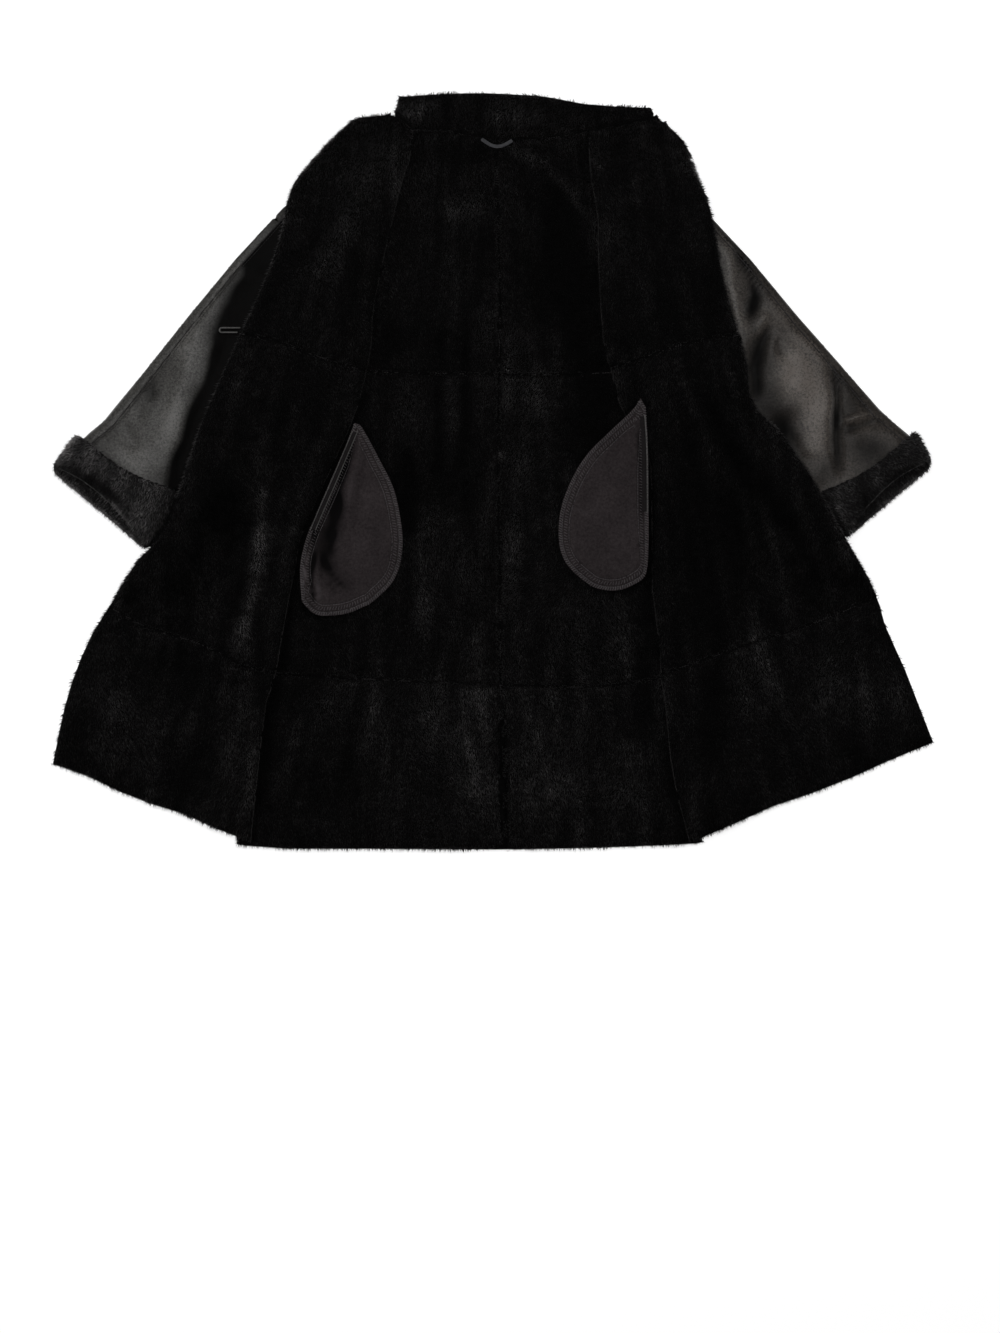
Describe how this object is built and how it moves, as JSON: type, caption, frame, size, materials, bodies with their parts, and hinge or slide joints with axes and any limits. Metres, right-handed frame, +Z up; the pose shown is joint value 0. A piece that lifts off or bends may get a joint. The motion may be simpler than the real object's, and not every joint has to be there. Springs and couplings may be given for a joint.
{
  "type": "sheepskin coat",
  "caption": "Black sheepskin coat laid open flat on its back, fur side up, with leather sleeves, turned-up fur cuffs, collar strip and cotton pocket bags.",
  "frame": {"origin": "middle of the coat's box in plan, on the surface it lies on", "axes": "+X across the coat to the right as seen from above, +Y from hem to collar, +Z up off the surface"},
  "size_m": [1.2374, 1.0624, 0.0485],
  "materials": {
    "fur": "dense clipped black sheep's fur, soft sheen",
    "nappa": "fine-grained black nappa, satin",
    "cotton": "charcoal cotton twill, matt",
    "tape": "grey woven tape, slight sheen"
  },
  "bodies": {
    "root": {"back_upper_left": "fur", "back_upper_right": "fur", "back_middle_left": "fur", "back_middle_right": "fur", "back_hem_left": "fur", "back_hem_right": "fur", "front_upper_left": "fur", "front_middle_left": "fur", "front_hem_left": "fur", "front_upper_right": "fur", "front_middle_right": "fur", "front_hem_right": "fur", "collar": "fur", "cuff_left": "fur", "cuff_right": "fur", "sleeve_back_left": "nappa", "sleeve_front_left": "nappa", "sleeve_back_right": "nappa", "sleeve_front_right": "nappa", "button_loop": "nappa", "pocket_under_left": "cotton", "pocket_over_left": "cotton", "pocket_under_right": "cotton", "pocket_over_right": "cotton", "pocket_facing_left": "cotton", "pocket_facing_right": "cotton", "hanger_loop": "tape"}
  },
  "joints": []
}
